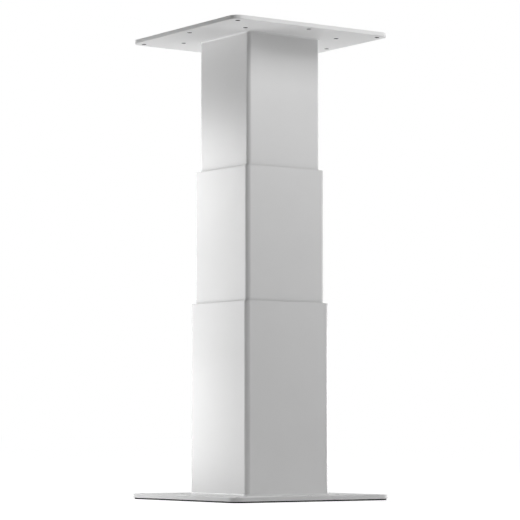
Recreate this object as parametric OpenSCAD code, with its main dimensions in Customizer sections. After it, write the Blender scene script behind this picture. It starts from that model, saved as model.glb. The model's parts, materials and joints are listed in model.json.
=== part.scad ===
// Three-stage electric lifting column, in millimetres, drawn fully extended.
// Origin: centre of the underside. +Z up, -Y front, the power inlet is on the rear (+Y) face.
// Heights inside the middle and upper stages are worked out for the lowered column,
// and each stage is then lifted by its own travel.

/* [End plates] */
// Side of both square plates
plate_w = 280; // [270:1:340]
// Thickness of both plates
plate_t = 6; // [5:0.5:10]
// Corner radius of the plates
plate_r = 15; // [5:1:25]
// Diameter of the mounting holes
bolt_d = 6.6; // [5.5:0.1:9]
// Spacing of the outer mounting holes
bolt_outer = 252; // [240:1:260]
// Spacing of the inner mounting holes
bolt_inner = 165; // [164:1:180]
// Thickness of the rubber sheet under the base
pad_t = 2; // [1:0.5:4]
// How far the rubber sheet stays inside the plate's edge
pad_inset = 2; // [1:0.5:5]

/* [Tubes] */
// Side of the lower tube
lower_w = 150; // [150:0.5:154]
// How much narrower each following tube is
tube_step = 10; // [10:0.1:10.2]
// Wall thickness of the tubes
wall = 2.5; // [2:0.1:2.6]
// Corner radius of the lower tube
lower_r = 7; // [6.5:0.5:9]
// How much less the corner radius is on each following tube
corner_step = 0.5; // [0:0.1:0.5]
// Height of the lower tube's rim
lower_rim = 291; // [285:0.5:294]
// How far each stage still stands out of the one below when lowered
stage_proud = 8.5; // [5:0.5:10]
// Width of the weld beads at the plates
weld_leg = 2.2; // [1.5:0.1:3]

/* [Travel] */
// Travel of each of the two moving stages
stage_travel = 190; // [150:1:190]

/* [Drive] */
// Diameter of the lower spindle
spindle_d = 16; // [14:0.5:16]
// Outside diameter of the hollow upper spindle
hollow_d = 26; // [25:0.5:27]
// Length of the motor can
motor_len = 80; // [60:1:90]

/* [Hidden] */
$fn = 64;

// Clearances: between sliding faces, round a turning shaft, round a seated one, and at a shaft's end.
slide_gap = 0.3;
run_gap = 0.05;
seat_gap = 0.02;
end_gap = 0.2;

// How far a cutter runs past the faces that it opens
past = 1;

// Screws: radii of their shanks, and of a head as a share of its shank
m3_r = 1.5;
m4_r = 2;
m5_r = 2.5;
small_r = 1.25;
sunk_head = 1.9;
sunk_gap = 0.1;
cap_head = 1.83;
socket_share = 0.95;

// Tubes
middle_w = lower_w - tube_step;
upper_w = middle_w - tube_step;
middle_r = lower_r - corner_step;
upper_r = middle_r - corner_step;
floor_z = pad_t + plate_t;
middle_foot = floor_z + 22;
upper_foot = floor_z + 32.5;
middle_rim = lower_rim + stage_proud;
upper_top = middle_rim + stage_proud;
lift_1 = stage_travel;
lift_2 = 2 * stage_travel;

// Guides. What sits inside a tube has slightly rounder corners than the tube's bore.
corner_ease = 0.1;
ring_h = 22;
pad_w = 90;
pad_h = 30;
middle_pad_z = middle_foot + 12;
upper_pad_z = upper_foot + 1.5;
button_r = 4;
button_x = 25;

// Gear case
case_x = 2;
case_w = 118;
case_d = 90;
case_r = 10;
case_side_cut_r = 40;
case_side_cut_y = 73;
case_end_cut_r = 30;
case_end_cut_x = 85;
case_floor = 3;
case_h = 11;
cover_h = 9;
cover_z = floor_z + case_h;
cover_top = cover_z + cover_h;
gear_z = floor_z + case_floor + 1;
gear_h = 6;
pocket_gap = 1.3;
drive_screw_x = 50;
drive_screw_y = 37;
drive_screw_len = 13;
drive_access_r = 6;
cover_screw_x = 51;
cover_screw_y = 22;
cover_screw_len = 14;
bore_floor_z = floor_z + 1;
pad_hole_ease = 1;

// Gear train: spindle gear, idler and pinion in one line along X.
// The tooth counts and the middle gear's half-pitch turn keep the teeth in mesh.
gear_m = 1;
pressure_angle = 20;
root_depth = 1.25;
flank_steps = 4;
pinion_teeth = 18;
idler_teeth = 24;
spindle_teeth = 45;
idler_pin_r = 3;
idler_pin_top = cover_z + 3;
idler_hub_r = 6;
idler_hub_proud = 0.8;
spindle_x = -24;
idler_x = spindle_x + gear_m * (spindle_teeth + idler_teeth) / 2;
motor_x = idler_x + gear_m * (idler_teeth + pinion_teeth) / 2;
backlash = 0.12;

// Lower spindle
spindle_r = spindle_d / 2;
journal_r = 6;
foot_pin_r = 4;
spindle_top = floor_z + 242;
dog_h = 10;
dog_r = 5;
dog_pin_h = 1;
key_w = 4;
key_r = 10.8;
key_gap = 0.2;
thrust_od = 28;
thrust_h = 8;
thrust_ball = 4;
thrust_balls = 10;
thrust_z = cover_top - thrust_h;
thrust_lip = 2;
race_share = 0.45;

// Motor, its lead and the inlet
shaft_r = 2.5;
shaft_h = 28;
shaft_bore_top = cover_top + 17;
shaft_window_r = 4;
pilot_r = 8;
pilot_h = 2;
gearhead_r = 21;
gearhead_h = 36;
gearhead_stages = 3;
seam_w = 1;
motor_r = 23;
can_shoulder = 4;
cap_h = 6;
cap_boss = [10, 9, 8];
motor_z = cover_top + gearhead_h;
cap_z = motor_z + motor_len;
motor_bolt_r = 15.5;
motor_screw_z = cover_z + 3.2;
motor_screw_len = 11;
lead_r = 2;
lead_y = 27;
lead_bend = 12;
lead_gap = 2.5;
cap_bend = 8;
motor_gap = 3.5;

// Inlet, measured outwards from the rear face
inlet_z = floor_z + 13.5;
inlet_w = 17;
inlet_flange_t = 2;
inlet_flange_r = 2;
inlet_proud = 6;
inlet_collar_r = 6;
inlet_barrel_r = 5.5;
inlet_depth = 13;
inlet_bore_r = 4.5;
inlet_face = -2;
inlet_insert_t = 2;
inlet_screw_at = 6.2;
inlet_screw_head_r = 2.2;
inlet_screw_head_h = 1.6;
inlet_screw_len = 6.5;
contact_at = 2.25;
contact_r = 0.5;
contact_h = 7.5;

// Middle bracket, measured with the column lowered
bracket_t = 6;
gusset_t = 4;
gusset_h = 20;
gusset_end = 61;
boss_r = 26;
seat_r = 21;
cavity_r = 19.5;
middle_plate_z = middle_foot + 3;
flange_z = middle_plate_z + bracket_t;
nut_flange_t = 4;
nut_r = 12;
nut_h = 17;
nut_screw_len = 9;
wall_screw_depth = 14;
wall_screw_len = 13;
carrier_h = 7;
carrier_z = middle_plate_z + 22;
carrier_ball = 3.6;
carrier_balls = 16;
boss_top = carrier_z + carrier_h;
retainer_t = 2;
retainer_screw_at = 23.5;
retainer_screw_len = 7;

// Hollow spindle
hollow_r = hollow_d / 2;
bore_r = 9;
hollow_journal_r = 15;
hollow_z = carrier_z - 3;
hollow_top = middle_rim - 4;
collar_r = 17.5;
collar_t = 3;
clip_groove = 1.3;
clip_t = 1.1;
clip_depth = 1;
clip_out = 1.5;
clip_open = 7;
clip_z = carrier_z - clip_groove;

// Upper bracket, measured with the column lowered
upper_flange_z = boss_top + retainer_t + 4;
upper_flange_t = 5;
upper_plate_z = upper_flange_z + upper_flange_t;
upper_skirt_h = 12;
upper_skirt_t = 2.5;
upper_nut_r = 17;
upper_nut_h = 26;
upper_flange_r = 23.5;
upper_nut_screw_at = 20;
upper_nut_screw_len = 10;
upper_wall_screw_depth = 11;
upper_wall_screw_len = 10;

white = [0.93, 0.93, 0.92];
steel = [0.62, 0.63, 0.65];
zinc = [0.75, 0.75, 0.72];
alloy = [0.72, 0.73, 0.75];
black = [0.1, 0.1, 0.1];
pom = [0.2, 0.2, 0.21];
brass = [0.78, 0.62, 0.3];

// ---- shared shapes ----

module rounded_square(w, r) {
    square([w - 2 * r, w], center = true);
    square([w, w - 2 * r], center = true);
    for (a = [0:90:270])
        rotate(a)
            translate([w / 2 - r, w / 2 - r])
                circle(r);
}

module rounded_rect(w, d, r) {
    square([w - 2 * r, d], center = true);
    square([w, d - 2 * r], center = true);
    for (x = [-1, 1], y = [-1, 1])
        translate([x * (w / 2 - r), y * (d / 2 - r)])
            circle(r);
}

module square_tube(w, r, z0, z1) {
    translate([0, 0, z0])
        linear_extrude(z1 - z0)
            difference() {
                rounded_square(w, r);
                rounded_square(w - 2 * wall, r - wall);
            }
}

// The 12 mounting holes: corners and edge middles outside, four corners inside.
module bolt_holes(r) {
    for (x = [-1, 0, 1], y = [-1, 0, 1])
        if (x != 0 || y != 0)
            translate([x * bolt_outer / 2, y * bolt_outer / 2])
                circle(r);
    for (x = [-1, 1], y = [-1, 1])
        translate([x * bolt_inner / 2, y * bolt_inner / 2])
            circle(r);
}

module end_plate(z) {
    translate([0, 0, z])
        linear_extrude(plate_t)
            difference() {
                rounded_square(plate_w, plate_r);
                bolt_holes(bolt_d / 2);
            }
}

// Triangular bead round a square tube at height 0, standing on a plate below it.
module weld_bead(w, r) {
    for (a = [0:90:270])
        rotate(a) {
            translate([w / 2, 0, 0])
                rotate([90, 0, 0])
                    linear_extrude(w - 2 * r, center = true)
                        polygon([[0, 0], [weld_leg, 0], [0, weld_leg]]);
            translate([w / 2 - r, w / 2 - r, 0])
                rotate_extrude(angle = 90)
                    polygon([[r, 0], [r + weld_leg, 0], [r, weld_leg]]);
        }
}

// Places its children once on each side of a square tube, facing outwards along +X.
module on_four_sides() {
    for (a = [0:90:270])
        rotate(a)
            children();
}

module button_holes(w, z) {
    on_four_sides()
        for (y = [-button_x, button_x])
            translate([w / 2 - wall - past, y, z])
                rotate([0, 90, 0])
                    cylinder(r = button_r + seat_gap, h = wall + 2 * past);
}

// Four flat pads on the outside of a tube, each held by two buttons in the wall.
module glide_pads(w, z) {
    pad_t_out = (tube_step / 2 - wall) - slide_gap;
    on_four_sides() {
        translate([w / 2, -pad_w / 2, z])
            cube([pad_t_out, pad_w, pad_h]);
        for (y = [-button_x, button_x])
            translate([w / 2 - wall, y, z + pad_h / 2])
                rotate([0, 90, 0])
                    cylinder(r = button_r, h = wall + pad_t_out / 2);
    }
}

// Ring in the mouth of a tube of outside size w, open for the next tube inside it.
module guide_ring(w, r, z) {
    inner_w = w - tube_step;
    translate([0, 0, z])
        linear_extrude(ring_h)
            difference() {
                rounded_square(w - 2 * wall, r - wall + corner_ease);
                rounded_square(inner_w + 2 * slide_gap, r - corner_step + slide_gap);
            }
}

// Screw with its head's top face at height 0 and its shank down along -Z.
module countersunk_screw(shank_r, length) {
    head_r = sunk_head * shank_r;
    head_h = head_r - shank_r;
    rotate_extrude()
        polygon([[0, 0], [head_r, 0], [shank_r, -head_h], [shank_r, -length], [0, -length]]);
}

module countersunk_hole(shank_r, length) {
    head_r = sunk_head * shank_r + sunk_gap;
    head_h = head_r - shank_r;
    skin = 0.01;
    translate([0, 0, -length])
        cylinder(r = shank_r + seat_gap, h = length + past);
    rotate_extrude()
        polygon([[0, skin], [head_r, skin], [shank_r, skin - head_h], [0, skin - head_h]]);
}

// Cap screw with a hexagon socket, seated at height 0, head up and shank down.
module cap_screw(shank_r, length) {
    head_r = cap_head * shank_r;
    head_h = 2 * shank_r;
    difference() {
        union() {
            cylinder(r = head_r, h = head_h);
            translate([0, 0, -length])
                cylinder(r = shank_r, h = length + head_h / 2);
        }
        translate([0, 0, head_h / 2])
            cylinder(r = shank_r * socket_share, h = head_h, $fn = 6);
    }
}

// Places its children on a circle round the Z axis.
module on_circle(r, count, start = 0) {
    for (i = [0:count - 1])
        rotate(start + i * 360 / count)
            translate([r, 0, 0])
                children();
}

// ---- ball bearings ----

module bearing_outer(r_out, r_in, h, ball_r) {
    pitch = (r_out + r_in) / 2;
    rotate_extrude()
        difference() {
            translate([pitch + ball_r * race_share, 0])
                square([r_out - pitch - ball_r * race_share, h]);
            translate([pitch, h / 2])
                circle(ball_r + run_gap);
        }
}

module bearing_inner(r_out, r_in, h, ball_r) {
    pitch = (r_out + r_in) / 2;
    rotate_extrude()
        difference() {
            translate([r_in, 0])
                square([pitch - ball_r * race_share - r_in, h]);
            translate([pitch, h / 2])
                circle(ball_r + run_gap);
        }
}

module bearing_balls(r_out, r_in, h, ball_r, count) {
    on_circle((r_out + r_in) / 2, count)
        translate([0, 0, h / 2])
            sphere(ball_r);
}

// ---- involute gears ----

function involute_angle(a) = tan(a) * 180 / PI - a;

// Half the angle that a tooth spans at radius r.
function tooth_half(teeth, r, base) =
    90 / teeth - backlash / 2 / (gear_m * teeth / 2) * 180 / PI
    + involute_angle(pressure_angle) - involute_angle(acos(min(1, base / r)));

function polar(r, a) = [r * cos(a), r * sin(a)];

function tooth_points(teeth, centre) =
    let (
        pitch = gear_m * teeth / 2,
        base = pitch * cos(pressure_angle),
        root = pitch - root_depth * gear_m,
        tip = pitch + gear_m,
        first = max(base, root),
        radii = [for (i = [0:flank_steps]) first + (tip - first) * i / flank_steps]
    )
    concat(
        [polar(root, centre - tooth_half(teeth, first, base))],
        [for (r = radii) polar(r, centre - tooth_half(teeth, r, base))],
        [for (i = [flank_steps:-1:0]) polar(radii[i], centre + tooth_half(teeth, radii[i], base))],
        [polar(root, centre + tooth_half(teeth, first, base))]
    );

module spur_gear(teeth, bore, start = 0) {
    linear_extrude(gear_h)
        difference() {
            polygon([for (k = [0:teeth - 1]) each tooth_points(teeth, start + k * 360 / teeth)]);
            circle(bore);
        }
}

// ---- fixed base ----

module foot_pad() {
    color(black)
        linear_extrude(pad_t)
            difference() {
                rounded_square(plate_w - 2 * pad_inset, plate_r - pad_inset);
                bolt_holes(bolt_d / 2 + pad_hole_ease);
                at_drive_screws()
                    circle(drive_access_r);
            }
}

module at_drive_screws() {
    for (x = [-1, 1], y = [-1, 1])
        translate([case_x + x * drive_screw_x, y * drive_screw_y, 0])
            children();
}

module at_cover_screws() {
    for (x = [-1, 1], y = [-1, 1])
        translate([case_x + x * cover_screw_x, y * cover_screw_y, cover_top])
            children();
}

module at_motor_screws() {
    translate([motor_x, 0, motor_screw_z])
        on_circle(motor_bolt_r, 4, 45)
            children();
}

module base_plate() {
    color(white)
        difference() {
            end_plate(pad_t);
            at_drive_screws()
                translate([0, 0, pad_t])
                    mirror([0, 0, 1])
                        countersunk_hole(m5_r, plate_t + past);
        }
}

module base_weld() {
    color(white)
        translate([0, 0, floor_z])
            weld_bead(lower_w, lower_r);
}

module lower_tube() {
    color(white)
        difference() {
            square_tube(lower_w, lower_r, floor_z, lower_rim);
            translate([motor_x, lower_w / 2 + past, inlet_z])
                rotate([90, 0, 0]) {
                    cylinder(r = inlet_barrel_r + corner_ease, h = wall + 2 * past);
                    at_inlet_corners()
                        cylinder(r = small_r + seat_gap, h = wall + 2 * past);
                }
        }
}

module lower_guide_ring() {
    color(pom)
        guide_ring(lower_w, lower_r, lower_rim - ring_h);
}

// The casting is waisted between its four corner screws.
module case_outline() {
    difference() {
        translate([case_x, 0])
            rounded_rect(case_w, case_d, case_r);
        for (y = [-1, 1])
            translate([case_x, y * case_side_cut_y])
                circle(case_side_cut_r);
        translate([case_end_cut_x, 0])
            circle(case_end_cut_r);
    }
}

module gear_pocket() {
    translate([spindle_x, 0])
        circle(gear_m * (spindle_teeth / 2 + 1) + pocket_gap);
    translate([idler_x, 0])
        circle(gear_m * (idler_teeth / 2 + 1) + pocket_gap);
    translate([motor_x, 0])
        circle(gear_m * (pinion_teeth / 2 + 1) + pocket_gap);
}

module gear_housing() {
    color(alloy)
        difference() {
            translate([0, 0, floor_z])
                linear_extrude(case_h)
                    case_outline();
            translate([0, 0, floor_z + case_floor])
                linear_extrude(case_h)
                    gear_pocket();
            translate([spindle_x, 0, bore_floor_z])
                cylinder(r = foot_pin_r + run_gap, h = case_floor);
            translate([idler_x, 0, bore_floor_z])
                cylinder(r = idler_pin_r + seat_gap, h = case_floor);
            at_drive_screws()
                translate([0, 0, floor_z - past])
                    cylinder(r = m5_r + seat_gap, h = drive_screw_len - plate_t + 2 * past);
            at_cover_screws()
                translate([0, 0, -cover_screw_len - past])
                    cylinder(r = m4_r + seat_gap, h = cover_screw_len - cover_h + 2 * past);
        }
}

module gear_cover() {
    color(alloy)
        difference() {
            translate([0, 0, cover_z])
                linear_extrude(cover_h)
                    case_outline();
            translate([spindle_x, 0, thrust_z])
                cylinder(r = thrust_od / 2 + seat_gap, h = thrust_h + past);
            translate([spindle_x, 0, cover_z - past])
                cylinder(r = thrust_od / 2 - thrust_lip, h = cover_h);
            translate([idler_x, 0, cover_z - past])
                cylinder(r = idler_pin_r + seat_gap, h = idler_pin_top - cover_z + end_gap + past);
            translate([motor_x, 0, cover_z - past])
                cylinder(r = shaft_window_r, h = cover_h + 2 * past);
            translate([motor_x, 0, cover_top - pilot_h])
                cylinder(r = pilot_r + seat_gap, h = pilot_h + past);
            at_motor_screws() {
                translate([0, 0, cover_z - motor_screw_z - past])
                    cylinder(r = 2 * m3_r, h = motor_screw_z - cover_z + past);
                cylinder(r = m3_r + seat_gap, h = cover_h);
            }
            at_cover_screws()
                countersunk_hole(m4_r, cover_h + past);
            translate([motor_x, lead_y, inlet_z])
                lead_groove();
        }
}

// Open slot for the lead in the cover's rear edge, with its round end at the lead's bend.
module lead_groove() {
    groove_r = lead_r + 0.5;
    translate([0, 0, -groove_r]) {
        cylinder(r = groove_r, h = cover_h);
        translate([-groove_r, 0, 0])
            cube([2 * groove_r, case_d, cover_h]);
    }
}

module cover_screws() {
    color(zinc)
        at_cover_screws()
            countersunk_screw(m4_r, cover_screw_len);
}

module drive_screws() {
    color(zinc)
        at_drive_screws()
            translate([0, 0, pad_t])
                mirror([0, 0, 1])
                    countersunk_screw(m5_r, drive_screw_len);
}

module spindle_bearing_ring() {
    color(steel)
        translate([spindle_x, 0, thrust_z])
            bearing_outer(thrust_od / 2, journal_r, thrust_h, thrust_ball / 2);
}

module spindle_bearing_balls() {
    color(steel)
        translate([spindle_x, 0, thrust_z])
            bearing_balls(thrust_od / 2, journal_r, thrust_h, thrust_ball / 2, thrust_balls);
}

module idler_pin() {
    color(steel)
        translate([idler_x, 0, bore_floor_z])
            cylinder(r = idler_pin_r, h = idler_pin_top - bore_floor_z);
}

// ---- motor, lead and inlet ----

// The gearhead's stages show as V-shaped seams between its ring gears.
module motor_gearhead() {
    color(steel)
        difference() {
            translate([motor_x, 0, 0]) {
                translate([0, 0, cover_top])
                    cylinder(r = gearhead_r, h = gearhead_h);
                translate([0, 0, cover_top - pilot_h])
                    cylinder(r = pilot_r, h = pilot_h + past);
            }
            translate([motor_x, 0, cover_z])
                cylinder(r = shaft_r + run_gap, h = shaft_bore_top - cover_z);
            at_motor_screws()
                cylinder(r = m3_r + seat_gap, h = motor_screw_len + past);
            for (i = [1:gearhead_stages - 1])
                translate([motor_x, 0, cover_top + i * gearhead_h / gearhead_stages])
                    rotate_extrude()
                        polygon([[gearhead_r - seam_w / 2, 0], [gearhead_r + seam_w, -1.5 * seam_w],
                            [gearhead_r + seam_w, 1.5 * seam_w]]);
        }
}

// The can is a drawn cup: a straight wall with a rounded shoulder at its far end.
module motor_can() {
    color(zinc)
        translate([motor_x, 0, motor_z])
            rotate_extrude() {
                square([motor_r, motor_len - can_shoulder]);
                square([motor_r - can_shoulder, motor_len]);
                translate([motor_r - can_shoulder, motor_len - can_shoulder])
                    intersection() {
                        circle(can_shoulder);
                        square(can_shoulder);
                    }
            }
}

module motor_end_cap() {
    color(black)
        translate([motor_x, 0, cap_z]) {
            cylinder(r = motor_r - can_shoulder, h = cap_h);
            translate([-cap_boss.x / 2, lead_y - cap_bend - cap_boss.y, cap_h])
                cube(cap_boss);
        }
}

module motor_screws() {
    color(zinc)
        at_motor_screws()
            mirror([0, 0, 1])
                cap_screw(m3_r, motor_screw_len);
}

// Lead: straight in from the inlet, a bend up beside the motor, a bend over onto its end cap.
module motor_lead() {
    rise_top = cap_z + cap_h + cap_boss.z / 2 - cap_bend;
    color(black)
        translate([motor_x, 0, 0]) {
            translate([0, lead_y + lead_bend, inlet_z])
                rotate([-90, 0, 0])
                    cylinder(r = lead_r, h = lower_w / 2 - inlet_depth - lead_y - lead_bend);
            translate([0, lead_y + lead_bend, inlet_z + lead_bend])
                rotate([90, 0, -90])
                    rotate([0, 0, -90])
                        rotate_extrude(angle = 90)
                            translate([lead_bend, 0])
                                circle(lead_r);
            translate([0, lead_y, inlet_z + lead_bend])
                cylinder(r = lead_r, h = rise_top - inlet_z - lead_bend);
            translate([0, lead_y - cap_bend, rise_top])
                rotate([90, 0, 90])
                    rotate_extrude(angle = 90)
                        translate([cap_bend, 0])
                            circle(lead_r);
        }
}

module at_inlet_corners() {
    for (x = [-1, 1], y = [-1, 1])
        translate([x * inlet_screw_at, y * inlet_screw_at, 0])
            children();
}

// Places its children on the rear face at the inlet, with their +Z pointing out of it.
module at_inlet() {
    translate([motor_x, lower_w / 2, inlet_z])
        rotate([-90, 0, 0])
            children();
}

module inlet_socket() {
    color(steel)
        at_inlet()
            difference() {
                union() {
                    linear_extrude(inlet_flange_t)
                        rounded_square(inlet_w, inlet_flange_r);
                    cylinder(r = inlet_collar_r, h = inlet_proud);
                    translate([0, 0, -inlet_depth])
                        cylinder(r = inlet_barrel_r, h = inlet_depth + past);
                }
                translate([0, 0, inlet_face - inlet_insert_t])
                    cylinder(r = inlet_bore_r, h = inlet_proud + inlet_insert_t - inlet_face + past);
                at_inlet_corners()
                    translate([0, 0, -past])
                        cylinder(r = small_r + seat_gap, h = inlet_flange_t + 2 * past);
            }
}

module inlet_insert() {
    color(black)
        at_inlet()
            difference() {
                translate([0, 0, inlet_face - inlet_insert_t])
                    cylinder(r = inlet_bore_r - seat_gap, h = inlet_insert_t);
                on_circle(contact_at, 4, 45)
                    translate([0, 0, inlet_face - inlet_insert_t - past])
                        cylinder(r = contact_r + seat_gap, h = inlet_insert_t + 2 * past, $fn = 24);
            }
}

module inlet_pins() {
    color(brass)
        at_inlet()
            on_circle(contact_at, 4, 45)
                translate([0, 0, inlet_face - inlet_insert_t])
                    cylinder(r = contact_r, h = contact_h, $fn = 24);
}

module inlet_screws() {
    color(zinc)
        at_inlet()
            at_inlet_corners()
                translate([0, 0, inlet_flange_t]) {
                    cylinder(r = inlet_screw_head_r, h = inlet_screw_head_h);
                    translate([0, 0, -inlet_screw_len])
                        cylinder(r = small_r, h = inlet_screw_len + inlet_screw_head_h / 2);
                }
}

// ---- turning pieces in the base ----

module lower_spindle() {
    color(steel)
        translate([spindle_x, 0, 0]) {
            translate([0, 0, bore_floor_z + end_gap])
                cylinder(r = foot_pin_r, h = case_floor);
            translate([0, 0, floor_z + case_floor + end_gap])
                cylinder(r = journal_r - seat_gap, h = cover_top - floor_z - case_floor);
            translate([0, 0, cover_top])
                cylinder(r = spindle_r, h = spindle_top - cover_top);
            translate([0, 0, spindle_top - past])
                cylinder(r = dog_r, h = dog_h + dog_pin_h + past);
        }
}

module spindle_bearing_inner() {
    color(steel)
        translate([spindle_x, 0, thrust_z])
            bearing_inner(thrust_od / 2, journal_r, thrust_h, thrust_ball / 2);
}

module spindle_gear() {
    color(brass)
        translate([spindle_x, 0, gear_z])
            spur_gear(spindle_teeth, journal_r);
}

// Driver with two keys that slide in the hollow spindle's keyways.
module drive_dog() {
    color(steel)
        translate([spindle_x, 0, spindle_top])
            linear_extrude(dog_h)
                difference() {
                    union() {
                        circle(bore_r - key_gap / 2);
                        square([2 * key_r, key_w], center = true);
                    }
                    circle(dog_r + seat_gap);
                }
}

module idler_gear() {
    hub_h = gear_h + 2 * idler_hub_proud;
    color(alloy)
        translate([idler_x, 0, gear_z]) {
            spur_gear(idler_teeth, idler_pin_r + run_gap, 180 / idler_teeth);
            translate([0, 0, -idler_hub_proud])
                linear_extrude(hub_h)
                    difference() {
                        circle(idler_hub_r);
                        circle(idler_pin_r + run_gap);
                    }
        }
}

module motor_shaft() {
    color(steel)
        translate([motor_x, 0, gear_z])
            cylinder(r = shaft_r, h = shaft_h);
}

module motor_pinion() {
    color(steel)
        translate([motor_x, 0, gear_z])
            spur_gear(pinion_teeth, shaft_r + seat_gap);
}

// ---- brackets shared by the two moving stages ----

// Outline of a bracket across a tube, open round the motor and its lead.
module bracket_outline(w, r) {
    difference() {
        rounded_square(w - 2 * wall, r - wall + corner_ease);
        translate([motor_x, 0])
            circle(motor_r + motor_gap);
        translate([motor_x, lead_y])
            circle(lead_r + lead_gap);
    }
}

module wall_screw_places(w, z) {
    on_four_sides()
        translate([w / 2, 0, z])
            rotate([0, 90, 0])
                children();
}

// ---- middle stage ----

module middle_tube() {
    color(white)
        translate([0, 0, lift_1])
            difference() {
                square_tube(middle_w, middle_r, middle_foot, middle_rim);
                button_holes(middle_w, middle_pad_z + pad_h / 2);
                wall_screw_places(middle_w, middle_plate_z + bracket_t / 2)
                    countersunk_hole(m4_r, wall + past);
            }
}

module middle_glides() {
    color(pom)
        translate([0, 0, lift_1])
            glide_pads(middle_w, middle_pad_z);
}

module middle_guide_ring() {
    color(pom)
        translate([0, 0, lift_1])
            guide_ring(middle_w, middle_r, middle_rim - ring_h);
}

// Triangular rib from the bearing boss down to the bracket's edge.
module boss_gusset(angle, reach) {
    rotate(angle)
        translate([0, gusset_t / 2, bracket_t])
            rotate([90, 0, 0])
                linear_extrude(gusset_t)
                    polygon([[seat_r + past, -past], [reach, -past], [reach, 0], [boss_r, gusset_h],
                        [seat_r + past, gusset_h]]);
}

module middle_bracket() {
    color(alloy)
        translate([0, 0, lift_1])
            difference() {
                union() {
                    translate([0, 0, middle_plate_z])
                        linear_extrude(bracket_t)
                            bracket_outline(middle_w, middle_r);
                    translate([spindle_x, 0, middle_plate_z]) {
                        cylinder(r = boss_r, h = boss_top - middle_plate_z);
                        boss_gusset(90, gusset_end);
                        boss_gusset(180, gusset_end + spindle_x);
                        boss_gusset(270, gusset_end);
                    }
                }
                translate([spindle_x, 0, middle_plate_z - past])
                    cylinder(r = nut_r + seat_gap, h = bracket_t + 2 * past);
                translate([spindle_x, 0, flange_z])
                    cylinder(r = cavity_r, h = boss_top);
                translate([spindle_x, 0, carrier_z])
                    cylinder(r = seat_r + seat_gap, h = boss_top);
                translate([spindle_x, 0, middle_plate_z - past])
                    on_circle(motor_bolt_r, 4, 45)
                        cylinder(r = m3_r + seat_gap, h = bracket_t + 2 * past);
                translate([spindle_x, 0, boss_top - retainer_screw_len + past])
                    on_circle(retainer_screw_at, 4)
                        cylinder(r = small_r + seat_gap, h = retainer_screw_len);
                wall_screw_places(middle_w, middle_plate_z + bracket_t / 2)
                    translate([0, 0, -wall_screw_depth])
                        cylinder(r = m4_r + seat_gap, h = wall_screw_depth + past);
            }
}

module middle_bracket_screws() {
    color(zinc)
        translate([0, 0, lift_1])
            wall_screw_places(middle_w, middle_plate_z + bracket_t / 2)
                countersunk_screw(m4_r, wall_screw_len);
}

module lower_nut() {
    color(brass)
        translate([spindle_x, 0, lift_1])
            difference() {
                union() {
                    translate([0, 0, middle_plate_z])
                        cylinder(r = nut_r, h = nut_h);
                    translate([0, 0, flange_z])
                        cylinder(r = cavity_r - 0.5, h = nut_flange_t);
                }
                translate([0, 0, middle_plate_z - past])
                    cylinder(r = spindle_r + run_gap, h = nut_h + 2 * past);
                translate([0, 0, flange_z - past])
                    on_circle(motor_bolt_r, 4, 45)
                        cylinder(r = m3_r + seat_gap, h = nut_flange_t + 2 * past);
            }
}

module lower_nut_screws() {
    color(zinc)
        translate([spindle_x, 0, lift_1 + flange_z + nut_flange_t])
            on_circle(motor_bolt_r, 4, 45)
                cap_screw(m3_r, nut_screw_len);
}

module carrier_bearing_ring() {
    color(steel)
        translate([spindle_x, 0, lift_1 + carrier_z])
            bearing_outer(seat_r, hollow_journal_r, carrier_h, carrier_ball / 2);
}

module carrier_bearing_balls() {
    color(steel)
        translate([spindle_x, 0, lift_1 + carrier_z])
            bearing_balls(seat_r, hollow_journal_r, carrier_h, carrier_ball / 2, carrier_balls);
}

module bearing_retainer() {
    color(zinc)
        translate([spindle_x, 0, lift_1 + boss_top])
            linear_extrude(retainer_t)
                difference() {
                    circle(boss_r);
                    circle(cavity_r);
                    on_circle(retainer_screw_at, 4)
                        circle(small_r + seat_gap);
                }
}

module retainer_screws() {
    color(zinc)
        translate([spindle_x, 0, lift_1 + boss_top + retainer_t])
            on_circle(retainer_screw_at, 4)
                cap_screw(small_r, retainer_screw_len);
}

// ---- turning piece in the middle stage ----

// Hollow spindle with two keyways along its whole bore.
module upper_spindle() {
    color(steel)
        translate([spindle_x, 0, lift_1])
            difference() {
                union() {
                    translate([0, 0, hollow_z])
                        cylinder(r = hollow_journal_r - seat_gap, h = boss_top - hollow_z);
                    translate([0, 0, boss_top])
                        cylinder(r = collar_r, h = collar_t);
                    translate([0, 0, boss_top])
                        cylinder(r = hollow_r, h = hollow_top - boss_top);
                }
                translate([0, 0, clip_z])
                    difference() {
                        cylinder(r = hollow_journal_r + past, h = clip_groove);
                        cylinder(r = hollow_journal_r - clip_depth, h = clip_groove);
                    }
                translate([0, 0, hollow_z - past])
                    linear_extrude(hollow_top - hollow_z + 2 * past) {
                        circle(bore_r);
                        square([2 * (key_r + key_gap), key_w + key_gap], center = true);
                    }
            }
}

module carrier_bearing_inner() {
    color(steel)
        translate([spindle_x, 0, lift_1 + carrier_z])
            bearing_inner(seat_r, hollow_journal_r, carrier_h, carrier_ball / 2);
}

// Open spring ring in the groove under the bearing.
module spindle_circlip() {
    color(steel)
        translate([spindle_x, 0, lift_1 + clip_z + (clip_groove - clip_t) / 2])
            linear_extrude(clip_t)
                difference() {
                    circle(hollow_journal_r + clip_out);
                    circle(hollow_journal_r - clip_depth + (clip_groove - clip_t) / 2);
                    translate([hollow_journal_r, 0])
                        square(clip_open, center = true);
                }
}

// ---- upper stage ----

module upper_tube() {
    color(white)
        translate([0, 0, lift_2])
            difference() {
                square_tube(upper_w, upper_r, upper_foot, upper_top);
                button_holes(upper_w, upper_pad_z + pad_h / 2);
                wall_screw_places(upper_w, upper_plate_z + bracket_t / 2)
                    countersunk_hole(m4_r, wall + past);
            }
}

module upper_glides() {
    color(pom)
        translate([0, 0, lift_2])
            glide_pads(upper_w, upper_pad_z);
}

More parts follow.
